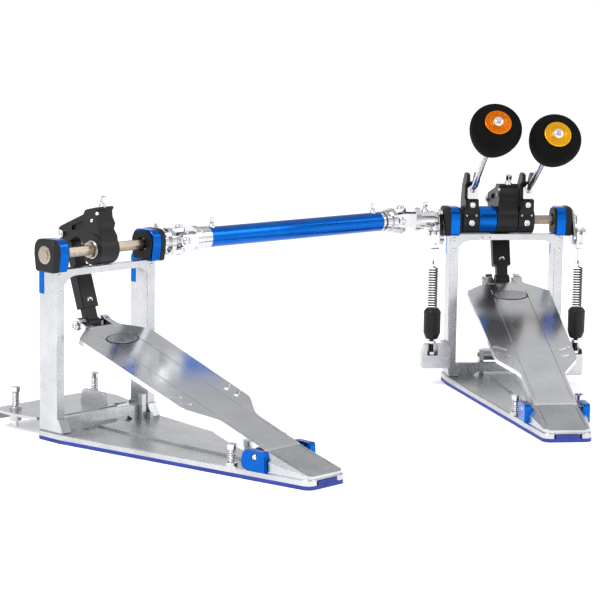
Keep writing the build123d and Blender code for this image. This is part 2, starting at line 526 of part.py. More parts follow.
# ---- beaters -----------------------------------------------------------------------
def beater(side, x, rise):
    """One beater: its holder on the axle, shaft, padded head, weight disc and dome screw."""
    tilt = radians(rise)
    axis = Vector(0, -cos(tilt), sin(tilt))
    clamp = Vector(x, CLAMP_Y, CLAMP_Z)
    head = clamp + axis * BEATER_REACH
    # the section is turned about the shaft, with its own y along the shaft
    section = Plane(origin=head, x_dir=(1, 0, 0), z_dir=Vector(1, 0, 0).cross(axis))
    half, slot = 9.4, SHAFT_R + 0.3

    with BuildPart() as holder:
        along_x(x - half - 0.05, x + half - 0.05, 0, AXLE_Z, HUB_R)
        side_plate(x - 7.9, x + 7.9, [(-13, 198), (-16.5, 211), (-16.5, 219.5), (-9.6, 220.5), (-9.6, 236),
                                      (-20, 243), (-19, 250), (-6, 252), (8, 236), (14, 216), (13, 198)],
                   [1, 3, 1, 1, 1, 1.5, 1.5, 6, 6, 3, 1])
        # the groove that the shaft lies in, open above, with a web behind it below
        block(x - slot, x + slot, -40, CLAMP_Y + 6, 215, 280, Mode.SUBTRACT)
        block(x - slot, x + slot, -40, 30, 240, 280, Mode.SUBTRACT)
        cylinder(Plane(origin=clamp - axis * 30, z_dir=axis), SHAFT_R + 0.3, 60, Mode.SUBTRACT)
        hexagon_x(x - 20, x + 20, HEX_ACROSS + 2 * FIT, Mode.SUBTRACT)
        cylinder(Plane(origin=(x, -10, AXLE_Z - 2), z_dir=(0, -1, 0)), 3.6, 12, Mode.SUBTRACT)
    save(holder, f"{side}_beater_holder")

    with BuildPart() as clamp_block:
        flat_plate(Plane(origin=(x, CLAMP_Y + 2, CLAMP_Z), x_dir=(1, 0, 0), z_dir=(0, -1, 0)), 9.0,
                   [(-6.1, -6.5), (6.1, -6.5), (6.1, 6.5), (0, 10.5), (-6.1, 6.5)], [1.2, 1.2, 1.2, 1.2, 1.2])
        cylinder(Plane(origin=clamp - axis * 30, z_dir=axis), SHAFT_R + FIT, 60, Mode.SUBTRACT)
    save(clamp_block, f"{side}_clamp_block")

    with BuildPart() as shaft:
        cylinder(Plane(origin=clamp - axis * 17, z_dir=axis), SHAFT_R, BEATER_REACH + 17 + 6)
        cylinder(Plane(origin=head + axis * (HEAD_TOP + 2.2), z_dir=axis), 6.2, 4.4)
        fillet(shaft.edges().filter_by(GeomType.CIRCLE).sort_by(Axis(clamp, axis))[-1], 3.9)
    save(shaft, f"{side}_beater_shaft")

    with BuildPart() as bulb:
        with BuildSketch(section) as half_section:
            with BuildLine():
                Line((SHAFT_R + FIT, HEAD_TOP - 5), (DISC_R + 0.6, HEAD_TOP - 5))
                Line((DISC_R + 0.6, HEAD_TOP - 5), (DISC_R + 0.6, HEAD_TOP))
                Line((DISC_R + 0.6, HEAD_TOP), (HEAD_FLAT_R, HEAD_TOP - 1.2))
                Spline((HEAD_FLAT_R, HEAD_TOP - 1.2), (HEAD_R, 1.0), (HEAD_FOOT_R, -HEAD_FOOT),
                       tangents=[(1.0, -0.45), (-0.35, -1.0)])
                Line((HEAD_FOOT_R, -HEAD_FOOT), (HEAD_FOOT_R - 6, -HEAD_FOOT - 3))
                Line((HEAD_FOOT_R - 6, -HEAD_FOOT - 3), (SHAFT_R + FIT, -HEAD_FOOT - 3))
                Line((SHAFT_R + FIT, -HEAD_FOOT - 3), (SHAFT_R + FIT, HEAD_TOP - 5))
            make_face()
        revolve(half_section.sketch, axis=Axis(head, axis))
    save(bulb, f"{side}_beater_head")

    with BuildPart() as disc:
        with BuildSketch(section) as plate:
            with BuildLine():
                Polyline((0, HEAD_TOP - 4.8), (DISC_R, HEAD_TOP - 4.8), (DISC_R, HEAD_TOP + 1.6),
                         (DISC_R - 0.8, HEAD_TOP + 2.2), (0, HEAD_TOP + 2.2), close=True)
            make_face()
        revolve(plate.sketch, axis=Axis(head, axis))
        cylinder(Plane(origin=head, z_dir=axis), SHAFT_R + FIT + 0.3, HEAD_TOP - 2, Mode.SUBTRACT)
        face = Plane(origin=head + axis * (HEAD_TOP + 2.2), x_dir=(1, 0, 0), z_dir=axis)
        if side == "left":
            with BuildSketch(face.offset(-1.2)) as dimples:
                with PolarLocations(11.6, 12):
                    Circle(1.0)
            extrude(dimples.sketch, amount=5, mode=Mode.SUBTRACT)
        with BuildSketch(face.offset(-0.6)) as groove:
            Circle(9.4)
            Circle(8.6, mode=Mode.SUBTRACT)
        extrude(groove.sketch, amount=5, mode=Mode.SUBTRACT)
    save(disc, f"{side}_beater_disc")


# ---- the right beater's axle, and the sleeve that the left beater turns with --------
def right_axle():
    with BuildPart() as axle:
        journal_axle(-33.0, 85.0, [(-33.0, -13.6), (55.0, 74.5)])
    save(axle, "right_axle")


def driven_axle():
    with BuildPart() as axle:
        journal_axle(-104.0, -35.0, [(-76.0, -55.6)])
    save(axle, "driven_axle")


def spacer_ring():
    """The blue ring beside the left holder, in which the right axle's end runs."""
    with BuildPart() as ring:
        along_x(-34.9, -14.0, 0, AXLE_Z, HUB_R)
        chamfer(ring.edges().filter_by(GeomType.CIRCLE), 0.6)
        along_x(-40, 0, 0, AXLE_Z, JOURNAL_R + FIT, Mode.SUBTRACT)
        hexagon_x(-35.0, -33.6, HEX_ACROSS + 2 * FIT, Mode.SUBTRACT)
    save(ring, "spacer_ring")


def spring_arm(side, hand, plate_in, plate_out):
    """A plate on the axle's end, with a pin that its spring hangs from."""
    spring_x = abs(LEFT_SPRING_X if hand < 0 else RIGHT_SPRING_X)
    with BuildPart() as arm:
        x0, x1 = sorted((hand * plate_in, hand * plate_out))
        side_plate(x0, x1, [(-25, AXLE_Z - 20), (-12, AXLE_Z - 29), (3, AXLE_Z - 25), (14, AXLE_Z - 3),
                            (11, AXLE_Z + 12), (-10, AXLE_Z + 12)], [5, 6, 6, 8, 8, 8])
        hexagon_x(-120, 120, HEX_ACROSS + 2 * FIT, Mode.SUBTRACT)
        x0, x1 = sorted((hand * (plate_out - 0.5), hand * (spring_x + 6.5)))
        along_x(x0, x1, SPRING_Y, ARM_PIN_Z, 2.2)
        x0, x1 = sorted((hand * (spring_x + 5.6), hand * (spring_x + 7.4)))
        along_x(x0, x1, SPRING_Y, ARM_PIN_Z, 4.2)
    save(arm, f"{side}_spring_arm")


def spring_hanger(side, x):
    """A clevis on the arm's pin, slotted to let the pin swing, with an eye below for the coil."""
    with BuildPart() as hanger:
        low, high = ARM_PIN_Z - 19.4, ARM_PIN_Z + 5.6
        side_plate(x - 4.8, x + 4.8, [(SPRING_Y - 8, low), (SPRING_Y + 8, low), (SPRING_Y + 8, high),
                                      (SPRING_Y - 8, high)], [3, 3, 5, 5])
        side_plate(x - 2.2, x + 2.2, [(SPRING_Y - 20, low + 6), (SPRING_Y + 20, low + 6), (SPRING_Y + 20, high + 9),
                                      (SPRING_Y - 20, high + 9)], mode=Mode.SUBTRACT)
        side_plate(x - 9, x + 9, [(SPRING_Y - 5.6, ARM_PIN_Z - 3.1), (SPRING_Y + 5.6, ARM_PIN_Z - 3.1),
                                  (SPRING_Y + 5.6, ARM_PIN_Z + 3.1), (SPRING_Y - 5.6, ARM_PIN_Z + 3.1)],
                   [3, 3, 3, 3], Mode.SUBTRACT)
        eye = COIL_TOP + 5
        upright(x, SPRING_Y, eye + 3, low + 1, 1.6)
        cylinder(Plane(origin=(x, SPRING_Y - 1.2, eye), z_dir=(0, 1, 0)), 4.6, 2.4)
        cylinder(Plane(origin=(x, SPRING_Y - 2, eye), z_dir=(0, 1, 0)), 2.6, 4, Mode.SUBTRACT)
    save(hanger, f"{side}_spring_hanger")


def return_springs():
    """Both coils as plain sleeves of the coil's outer size."""
    with BuildPart() as coils:
        for x in (LEFT_SPRING_X, RIGHT_SPRING_X):
            upright(x, SPRING_Y, COIL_BOTTOM, COIL_TOP, COIL_R)
            upright(x, SPRING_Y, COIL_BOTTOM - 1, COIL_TOP - 2, COIL_R - 1.6, Mode.SUBTRACT)
    save(coils, "return_springs")


def spring_barrels():
    """Black sleeves over the coils' lower ends, each with a threaded stem down to its bracket."""
    with BuildPart() as barrels:
        for x in (LEFT_SPRING_X, RIGHT_SPRING_X):
            with BuildSketch(Plane.XZ.offset(-SPRING_Y)) as half_section:
                with BuildLine():
                    FilletPolyline((x, BARREL_BOTTOM), (x + 7, BARREL_BOTTOM), (x + BARREL_R, BARREL_BOTTOM + 8),
                                   (x + BARREL_R, COIL_BOTTOM - 4), (x + 7, COIL_BOTTOM - 0.4),
                                   (x, COIL_BOTTOM - 0.4), radius=[3, 5, 4, 1])
                    Line((x, COIL_BOTTOM - 0.4), (x, BARREL_BOTTOM))
                make_face()
            revolve(half_section.sketch, axis=Axis((x, SPRING_Y, 0), (0, 0, 1)))
            upright(x, SPRING_Y, 34, BARREL_BOTTOM + 2, STEM_R)
    save(barrels, "spring_barrels")


def spring_brackets():
    """Silver lugs bolted to the outer face of each post, which hold the springs down."""
    left = [(-POST_OUT - 0.02, 21.6), (-101.6, 21.6), (-101.6, 37), (-97, 49.6), (-POST_OUT - 0.02, 49.6)]
    right = [(POST_OUT + 0.02, 12), (91.6, 12), (92.4, 32), (90, 49.6), (POST_OUT + 0.02, 49.6)]
    with BuildPart() as brackets:
        for x, corners in ((LEFT_SPRING_X, left), (RIGHT_SPRING_X, right)):
            lug = Plane(origin=(0, SPRING_Y + 8, 0), x_dir=(1, 0, 0), z_dir=(0, -1, 0))
            flat_plate(lug, 16, corners, [1, 2, 3, 3, 1])
            x0, x1 = sorted((corners[0][0], corners[0][0] + (6 if x > 0 else -6)))
            block(x0, x1, SPRING_Y - 8, 12, 26, 49)
            block(x - 6.2, x + 6.2, SPRING_Y - 10, SPRING_Y + 4, 37, 60, Mode.SUBTRACT)
            upright(x, SPRING_Y, 10, 60, STEM_R + FIT, Mode.SUBTRACT)
    save(brackets, "spring_brackets")


def hoop_clamp():
    """The upper jaw, which closes on the drum's hoop, and its pin."""
    with BuildPart() as jaw:
        along_x(-20.7, 20.7, HOOP_PIVOT_Y, HOOP_PIVOT_Z, 6.0)
        side_plate(-17, 17, [(HOOP_PIVOT_Y, 27), (HOOP_PIVOT_Y + 24, 27), (HOOP_PIVOT_Y + 25, 19),
                             (HOOP_PIVOT_Y + 32, 19), (HOOP_PIVOT_Y + 31, 34), (HOOP_PIVOT_Y, 36)], [1, 3, 2, 2, 4, 1])
        along_x(-30, 30, HOOP_PIVOT_Y, HOOP_PIVOT_Z, HOOP_PIN_R + FIT, Mode.SUBTRACT)
    save(jaw, "hoop_clamp_jaw")
    with BuildPart() as pin:
        along_x(-27.5, 27.5, HOOP_PIVOT_Y, HOOP_PIVOT_Z, HOOP_PIN_R)
        along_x(26.2, 28.5, HOOP_PIVOT_Y, HOOP_PIVOT_Z, 4.2)
    save(pin, "hoop_clamp_pin")


# ---- drive shaft -------------------------------------------------------------------
def fork(origin, out, pins, back, barrel_r, barrel_end, ear_r=EAR_R):
    """A yoke: a barrel, a disc and two ears round a joint's centre. out points from the
    joint's centre towards the barrel, pins along the ears' pin."""
    across = out.cross(pins)
    for hand in (-1, 1):
        start = origin + pins * (hand * EAR_IN)
        ear = Plane(origin=start, x_dir=across, z_dir=pins * hand)
        with BuildSketch(ear) as lobe:
            Circle(ear_r)
            with Locations((0, back / 2 if (ear.y_dir - out).length < 1 else -back / 2)):
                Rectangle(2 * ear_r, back)
        extrude(lobe.sketch, amount=EAR_OUT - EAR_IN)
        cylinder(Plane(origin=origin + pins * (hand * (EAR_IN - 3)), z_dir=pins * hand), CROSS_PIN_R + FIT, 20,
                 Mode.SUBTRACT)
    cylinder(Plane(origin=origin + out * (back - 0.5), z_dir=out), EAR_OUT + 0.3, 6.0)
    cylinder(Plane(origin=origin + out * (back + 5), z_dir=out), barrel_r, barrel_end - back - 5)


def cross(origin, pins):
    """The joint's block, a ball with a pin through it, held by the yoke nearer the axle."""
    with Locations(origin):
        Sphere(CROSS_R)
    cylinder(Plane(origin=origin - pins * (EAR_OUT + 1.4), z_dir=pins), CROSS_PIN_R, 2 * EAR_OUT + 2.8)


def drive_shaft():
    up = Vector(0, 0, 1)
    right_joint = Vector(-JOINT_OUT_RIGHT, 0, AXLE_Z)
    left_joint = SECOND.from_local_coords(Vector(JOINT_OUT_LEFT, 0, AXLE_Z))
    span = right_joint - left_joint
    line = span.normalized()
    side = up.cross(line).normalized()
    length = span.length
    print("drive shaft between joint centres:", round(length, 2), "direction", line)

    with BuildPart() as yoke:
        fork(right_joint, Vector(1, 0, 0), Vector(0, 1, 0), 17.0, 10.4, JOINT_OUT_RIGHT - 86.5, ear_r=8.0)
        hexagon_x(-105, -70, HEX_ACROSS + 2 * FIT, Mode.SUBTRACT)
        cross(right_joint, Vector(0, 1, 0))
    save(yoke, "right_axle_yoke")

    second_x = SECOND.x_dir
    with BuildPart() as yoke:
        fork(left_joint, second_x * -1, up, 15.5, 11.0, JOINT_OUT_LEFT - 77.2)
        stub = Plane(origin=SECOND.from_local_coords(Vector(92.5, 0, AXLE_Z)), x_dir=SECOND.y_dir, z_dir=second_x * -1)
        with BuildSketch(stub) as socket:
            RegularPolygon(HEX_ACROSS / 2 + FIT, 6, major_radius=False)
        extrude(socket.sketch, amount=30, mode=Mode.SUBTRACT)
        cross(left_joint, up)
    save(yoke, "left_axle_yoke")

    tube_start, tube_end = 38.0, length - 33.0
    with BuildPart() as ends:
        cylinder(Plane(origin=left_joint + line * (tube_start - 14), z_dir=line), 12.6, 14)
        chamfer(ends.edges().filter_by(GeomType.CIRCLE), 0.6)
        fork(left_joint, line, side, 16.0, 12.4, tube_start - 6)
        cylinder(Plane(origin=left_joint + line * (tube_start - 0.5), z_dir=line), TUBE_BORE_R - 0.1, 20)
    save(ends, "tube_yoke")
    with BuildPart() as tube:
        cylinder(Plane(origin=left_joint + line * tube_start, z_dir=line), TUBE_R, tube_end - tube_start)
        cylinder(Plane(origin=left_joint + line * (tube_start - 5), z_dir=line), TUBE_BORE_R, length, Mode.SUBTRACT)
    save(tube, "drive_tube")
    with BuildPart() as rod:
        cylinder(Plane(origin=right_joint - line * 26, z_dir=line * -1), ROD_R, 150)
    save(rod, "drive_rod")
    with BuildPart() as yoke:
        fork(right_joint, line * -1, up, 16.0, 12.4, 30.0)
        cylinder(Plane(origin=right_joint - line * 26, z_dir=line * -1), ROD_R + 0.02, 10, Mode.SUBTRACT)
    save(yoke, "rod_yoke")


def left_axle():
    with BuildPart() as axle:
        journal_axle(-77.5, 91.5, [(-69.0, -55.6), (55.6, 75.0)], collar=(-18.6, -13.7))
    save(axle, "left_axle", SECOND)


def outrigger_plate():
    """The channel that reaches out behind the second pedal and carries two more bolts."""
    with BuildPart() as channel:
        flat_plate(Plane.XY.offset(OUTRIGGER_TOP - OUTRIGGER_THICK), OUTRIGGER_THICK,
                   [(-68, 98), (-70, 70), (-65, 29), (66, 29), (75, 60), (75, 98)], [5, 6, 3, 3, 6, 5])
        flat_plate(Plane.XY.offset(OUTRIGGER_LOW), OUTRIGGER_TOP - OUTRIGGER_LOW,
                   [(-62, 98), (-62, 94), (68, 94), (68, 98)])
        for x, y, _, _ in OUTRIGGER_BOLTS:
            upright(x, y, OUTRIGGER_LOW, OUTRIGGER_TOP + 2, 6.5)
            upright(x, y, 0, 40, ANCHOR_R + FIT, Mode.SUBTRACT)
        # the tongue under the base's rear edge, and the fin that stiffens the plate
        block(-40, 40, BASE_REAR_Y + 0.02, 34, OUTRIGGER_LOW, OUTRIGGER_TOP)
        side_plate(26, 30, [(25, OUTRIGGER_TOP - 1), (65, OUTRIGGER_TOP - 1), (62, 34), (28, 34)], [0.5, 0.5, 3, 3])
    save(channel, "outrigger_plate", SECOND)


LEFT_BOSSES = [
    ([(44, -14), (50, -14), (50, -8.6), (44, -8.6)], 36.0),
    ([(50.5, -20), (55, -20), (55, -14.5), (50.5, -14.5)], 16.0),
]

build_pedal("right", MAIN, [])
build_pedal("left", SECOND, LEFT_BOSSES, OUTRIGGER_BOLTS)
right_axle()
driven_axle()
spacer_ring()
left_axle()
beater("left", LEFT_BEATER_X, LEFT_BEATER_RISE)
beater("right", RIGHT_BEATER_X, RIGHT_BEATER_RISE)
spring_arm("left", -1, 78.0, 83.0)
spring_arm("right", 1, 76.9, 79.4)
spring_hanger("left", LEFT_SPRING_X)
spring_hanger("right", RIGHT_SPRING_X)
return_springs()
spring_barrels()
spring_brackets()
hoop_clamp()
drive_shaft()
outrigger_plate()
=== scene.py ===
import json
from math import atan2, cos, pi, radians, sin, tau

import bmesh
import bpy
from mathutils import Matrix, Vector


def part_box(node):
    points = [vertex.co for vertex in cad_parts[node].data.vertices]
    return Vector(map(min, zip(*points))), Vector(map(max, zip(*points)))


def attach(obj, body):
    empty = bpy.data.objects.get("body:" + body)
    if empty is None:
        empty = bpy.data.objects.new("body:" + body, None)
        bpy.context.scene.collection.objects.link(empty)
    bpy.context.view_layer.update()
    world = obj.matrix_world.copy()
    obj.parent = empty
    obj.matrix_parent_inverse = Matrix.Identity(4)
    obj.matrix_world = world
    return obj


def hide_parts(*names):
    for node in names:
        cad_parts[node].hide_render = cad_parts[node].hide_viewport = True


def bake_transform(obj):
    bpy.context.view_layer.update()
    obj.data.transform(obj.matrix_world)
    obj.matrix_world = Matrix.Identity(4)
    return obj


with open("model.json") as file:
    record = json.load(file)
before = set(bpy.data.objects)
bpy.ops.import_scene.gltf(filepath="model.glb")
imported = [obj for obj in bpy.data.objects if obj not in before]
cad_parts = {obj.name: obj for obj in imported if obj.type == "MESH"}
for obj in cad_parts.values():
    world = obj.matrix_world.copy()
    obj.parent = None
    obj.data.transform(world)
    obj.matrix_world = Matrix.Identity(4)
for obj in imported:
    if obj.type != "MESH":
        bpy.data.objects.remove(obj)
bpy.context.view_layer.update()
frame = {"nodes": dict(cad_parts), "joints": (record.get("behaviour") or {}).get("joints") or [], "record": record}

MM = 0.001

# ---- sizes, in millimetres in each pedal's own frame, and angles in degrees -----------
BOARD_TOP = 6.2
BADGE_REACH, BADGE_HALF, BADGE_RIM = 244.4, 19.4, 21.0
TOE_PIN_OUT, TOE_SCREW_R = 22.8, 3.6
ANCHOR_X, ANCHOR_Y, ANCHOR_R = 35.0, -231.9, 2.9
ANCHOR_WASHER_Z, ANCHOR_SPRING_Z = 12.6, 13.6
BOLT_COIL_R, BOLT_COIL_WIRE, BOLT_COIL_STEPS = 3.9, 0.65, 28
HINGE_COVER_OUT = 35.4
FRAME_FRONT = -8.0
POST_SCREW_X, POST_SCREWS_Z = 62.9, (160.0, 173.0)
FOOT_SCREW_X, FOOT_SCREW_Y, FOOT_SCREW_Z = 62.0, -12.4, 17.0
BEARING_COVER_OUT = 76.7
# the cam's pin and screws are measured from the axle on an unturned cam
CAM_PIN_Y, CAM_PIN_RISE = 49.4, 12.0
CAM_FACE, CAM_SCREWS = -12.0, ((2.0, 30.0), (-6.0, 38.0))
CAM_EAR_X, CAM_EAR_Y, CAM_EAR_Z = -0.6, -1.5, 43.6
CAM_HUB_FACE = -13.4
LINK_PIN_ENDS = {-1: 14.2, 1: 13.0}
LINK_SCREW_REACH, LINK_HALF_THICK = 70.0, 6.2
BEATER_RISE = {"right": 29.8, "left": 34.9}
DISC_MID = 12.0
HEAD_BORE, HEAD_R, HEAD_FOOT_R, HEAD_FOOT = 3.5, 29.2, 16.8, 34.6
HUB_FRONT, HOLDER_PAD_RISE, HOLDER_PAD_FRONT = -16.3, 19.5, -19.6
HUB_SCREW_Y, SET_SCREW_X, SET_SCREW_Y, SET_SCREW_RISE = -14.0, 5.6, -15.0, 6.6
SPRING_Y, COIL_R, COIL_WIRE, COIL_TURNS = -17.0, 5.0, 0.85, 15
COIL_STEPS, HOOK_R = 24, 2.4
BARREL_RIM_Z, SPRING_NUTS_Z = 86.0, (37.2, 50.2)
PIN_END = 14.2
KEY_SCREW_SIZE = 0.9
RIGHT_YOKE_KEY_X, RIGHT_YOKE_SET_X, RIGHT_YOKE_R = -97.6, -100, 10.2
LEFT_YOKE_X, LEFT_YOKE_R = 84.5, 10.8
TUBE_TOP, TUBE_KEY_LEFT, TUBE_KEY_RIGHT, TUBE_MOUTH = 11.0, 45, 44, 33.4
ARM_COLLARS = {"left_beater": (-1, 83.4), "right_rocker": (1, 79.4)}
AXLE_END = 85.0
OUTRIGGER_BOLTS = ((-53, 78), (62, 84))
OUTRIGGER_WASHER_Z, OUTRIGGER_SPRING_Z = 21.9, 22.1

# ---- the view, in metres and degrees, with the lens in millimetres ---------------------
CAMERA_PLACE = (-0.55875, -2.49313, 0.49980)
CAMERA_YAW, CAMERA_PITCH, CAMERA_ROLL = -7.20, -9.04, 0.85
LENS = 130.09
FLOOR_HALF = 30.0
EDGE_WEAR = 0.0006
# the room's grey by the height of the direction, from the horizon at 0 to overhead at 1
WORLD_STRENGTH = 1.2
WORLD_GREYS = ((0.0, 1.0), (0.06, 1.0), (0.3, 0.60), (0.65, 0.42), (0.88, 0.8))

NODES = frame["nodes"]
JOINTS = {joint["name"]: joint for joint in frame["joints"]}
SLOT_OF = {part["node"]: part["material_slot"] for part in frame["record"]["subparts"]}


# ---- places, from the frame ---------------------------------------------------------
def pedal_matrix(side):
    """The pedal's own frame: origin under its axle, X along the axle, Z up."""
    joint = JOINTS[f"{side}_axle_turn"]
    turn = atan2(joint["axis"][1], joint["axis"][0])
    x, y, _ = joint["pos_m"]
    return Matrix.Translation((x, y, 0)) @ Matrix.Rotation(turn, 4, "Z")


PEDAL = {side: pedal_matrix(side) for side in ("right", "left")}


def local(side, point):
    """A point of the row frame, in millimetres in the pedal's own frame."""
    return (PEDAL[side].inverted() @ Vector(point)) / MM


def at(side, x, y, z):
    """The row-frame place of a point given in millimetres in the pedal's frame."""
    return PEDAL[side] @ Vector((x * MM, y * MM, z * MM))


def toward(side, x, y, z):
    return (PEDAL[side].to_3x3() @ Vector((x, y, z))).normalized()


def centre(node):
    low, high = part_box(node)
    return (low + high) / 2


AXLE_Z = JOINTS["right_axle_turn"]["pos_m"][2] / MM
_, HINGE_Y, HINGE_Z = local("right", JOINTS["right_board_hinge"]["pos_m"])
BASE_BODY = {"right": "main_base", "left": "second_base"}


def frame_at(origin, z_axis, x_hint=(1, 0, 0)):
    """A matrix at origin whose Z is z_axis and whose X is as near x_hint as it can be."""
    z = Vector(z_axis).normalized()
    hint = Vector(x_hint)
    if abs(hint.normalized().dot(z)) > 0.95:
        hint = Vector((0, 1, 0)) if abs(z.y) < 0.9 else Vector((0, 0, 1))
    x = (hint - z * hint.dot(z)).normalized()
    y = z.cross(x)
    rows = Matrix((x, y, z)).transposed().to_4x4()
    return Matrix.Translation(Vector(origin)) @ rows


def link_ends(side):
    """The Y and Z of the link's pin on the cam and of its toe pivot, in the pedal's frame."""
    _, cam_y, cam_z = local(side, JOINTS[f"{side}_link_swing"]["pos_m"])
    _, toe_y, toe_z = local(side, centre(f"{side}_toe_pins"))
    return (cam_y, cam_z), (toe_y, toe_z)


def board_slope(side):
    _, (toe_y, toe_z) = link_ends(side)
    return atan2(toe_z - HINGE_Z, toe_y - HINGE_Y)


def board_matrix(side):
    """On the footboard's top: Y runs from the hinge to the toe, Z out of the top."""
    slope = board_slope(side)
    origin = at(side, 0, HINGE_Y - sin(slope) * BOARD_TOP, HINGE_Z + cos(slope) * BOARD_TOP)
    return frame_at(origin, toward(side, 0, -sin(slope), cos(slope)), toward(side, 1, 0, 0))


# ---- mesh helpers, in millimetres ----------------------------------------------------
def loose_mesh(name, bm, matrix, material):
    """A smooth piece from a bmesh drawn in millimetres, with no body yet."""
    bmesh.ops.scale(bm, vec=(MM, MM, MM), verts=bm.verts)
    bmesh.ops.recalc_face_normals(bm, faces=bm.faces)
    mesh = bpy.data.meshes.new(name)
    bm.to_mesh(mesh)
    bm.free()
    mesh.materials.append(material)
    for face in mesh.polygons:
        face.use_smooth = True
    piece = bpy.data.objects.new(name, mesh)
    bpy.context.scene.collection.objects.link(piece)
    piece.matrix_world = matrix
    return piece


def finish_mesh(name, bm, matrix, material, body, smooth=35, bevel=0.0):
    """A piece that rides on a body, sharp where its faces turn by more than smooth degrees."""
    piece = loose_mesh(name, bm, matrix, material)
    if bevel:
        mod = piece.modifiers.new("edges", "BEVEL")
        mod.width = bevel * MM
        mod.segments = 2
        mod.limit_method = "ANGLE"
        mod.angle_limit = radians(28)
        mod.harden_normals = False
    piece.data.set_sharp_from_angle(angle=radians(smooth))
    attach(piece, body)
    return piece


def lathe(profile, segments=48):
    """A closed solid turned from (radius, height) points about Z."""
    bm = bmesh.new()
    rings = []
    for radius, height in profile:
        if radius < 1e-6:
            rings.append([bm.verts.new((0, 0, height))])
            continue
        angles = [tau * i / segments for i in range(segments)]
        rings.append([bm.verts.new((radius * cos(a), radius * sin(a), height)) for a in angles])
    for low, high in zip(rings, rings[1:]):
        for i in range(segments):
            j = (i + 1) % segments
            quad = [low[i % len(low)], low[j % len(low)], high[j % len(high)], high[i % len(high)]]
            corners = list(dict.fromkeys(quad))
            if len(corners) > 2:
                bm.faces.new(corners)
    for ring, flip in ((rings[0], True), (rings[-1], False)):
        if len(ring) > 2:
            bm.faces.new(ring[::-1] if flip else ring)
    return bm


def prism(outline, depth, bm=None, matrix=None):
    """A closed solid from an outline in X and Y, extruded along Z, alone or added to a bmesh."""
    bm = bm or bmesh.new()
    matrix = matrix or Matrix.Identity(4)
    low = [bm.verts.new(matrix @ Vector((x, y, 0))) for x, y in outline]
    high = [bm.verts.new(matrix @ Vector((x, y, depth))) for x, y in outline]
    bm.faces.new(low[::-1])
    bm.faces.new(high)
    count = len(outline)
    for i in range(count):
        j = (i + 1) % count
        bm.faces.new((low[i], low[j], high[j], high[i]))
    return bm


def ring_of(sides, radius, turn=0.0, squash=1.0):
    return [(radius * cos(tau * i / sides + turn), radius * squash * sin(tau * i / sides + turn))
            for i in range(sides)]


def wire(points, radius, sides=8):
    """A round wire along a list of points, with capped ends."""
    bm = bmesh.new()
    points = [Vector(p) for p in points]
    last = len(points) - 1
    rings = []
    normal = None
    for i, point in enumerate(points):
        along = (points[min(i + 1, last)] - points[max(i - 1, 0)]).normalized()
        if normal is None:
            normal = along.orthogonal().normalized()
        normal = (normal - along * normal.dot(along)).normalized()
        side = along.cross(normal)
        around = [normal * cos(tau * k / sides) + side * sin(tau * k / sides) for k in range(sides)]
        rings.append([bm.verts.new(point + spoke * radius) for spoke in around])
    for low, high in zip(rings, rings[1:]):
        for k in range(sides):
            m = (k + 1) % sides
            bm.faces.new((low[k], low[m], high[m], high[k]))
    bm.faces.new(rings[0][::-1])
    bm.faces.new(rings[-1])
    return bm


# ---- materials -----------------------------------------------------------------------
class Nodes:
    """Short names for building a material's node tree."""

    def __init__(self, name):
        self.material = bpy.data.materials.new(name)
        self.material.use_nodes = True
        self.tree = self.material.node_tree
        self.shader = self.tree.nodes["Principled BSDF"]

    def add(self, kind, **values):
        node = self.tree.nodes.new(kind)
        for key, value in values.items():
            if key in node.inputs:
                node.inputs[key].default_value = value
            else:
                setattr(node, key, value)
        return node

    def join(self, source, target):
        self.tree.links.new(source, target)

    def coords(self, scale):
        where = self.add("ShaderNodeTexCoord")
        mapping = self.add("ShaderNodeMapping")
        mapping.inputs["Scale"].default_value = scale
        self.join(where.outputs["Object"], mapping.inputs["Vector"])
        return mapping.outputs["Vector"]

    def noise(self, scale, detail, stretch=(1, 1, 1)):
        texture = self.add("ShaderNodeTexNoise", Scale=scale, Detail=detail, Roughness=0.6)
        self.join(self.coords(stretch), texture.inputs["Vector"])
        return texture.outputs["Fac"]

    def ramp(self, source, low, high, at_low=0.3, at_high=0.7):
        """Maps a 0 to 1 value through two greys or colours."""
        ramp = self.add("ShaderNodeValToRGB")
        for stop, place, value in zip(ramp.color_ramp.elements, (at_low, at_high), (low, high)):
            stop.position = place
            stop.color = value if isinstance(value, tuple) else (value, value, value, 1)
        self.join(source, ramp.inputs["Fac"])
        return ramp.outputs["Color"]

    def bump(self, source, strength, distance, normal):
        bump = self.add("ShaderNodeBump", Strength=strength, Distance=distance)
        self.join(source, bump.inputs["Height"])
        self.join(normal, bump.inputs["Normal"])
        return bump.outputs["Normal"]

    def rounded(self, radius):
        bevel = self.add("ShaderNodeBevel", samples=4)
        bevel.inputs["Radius"].default_value = radius
        return bevel.outputs["Normal"]

    def edge_mask(self, radius):
        """1 along worn edges, 0 on flats, broken up by noise."""
        bevel = self.rounded(radius)
        geometry = self.add("ShaderNodeNewGeometry")
        dot = self.add("ShaderNodeVectorMath", operation="DOT_PRODUCT")
        self.join(bevel, dot.inputs[0])
        self.join(geometry.outputs["Normal"], dot.inputs[1])
        less = self.add("ShaderNodeMath", operation="SUBTRACT")
        less.inputs[0].default_value = 1.0
        self.join(dot.outputs["Value"], less.inputs[1])
        broken = self.add("ShaderNodeMath", operation="MULTIPLY")
        self.join(less.outputs[0], broken.inputs[0])
        self.join(self.noise(900, 3), broken.inputs[1])
        return self.ramp(broken.outputs[0], 0.0, 1.0, 0.02, 0.12)

    def mix(self, factor, low, high):
        mix = self.add("ShaderNodeMix", data_type="RGBA")
        self.join(factor, mix.inputs["Factor"])
        for socket, value in ((mix.inputs[6], low), (mix.inputs[7], high)):
            if isinstance(value, tuple):
                socket.default_value = value
            else:
                self.join(value, socket)
        return mix.outputs[2]


def rgb(r, g, b):
    return (r, g, b, 1.0)


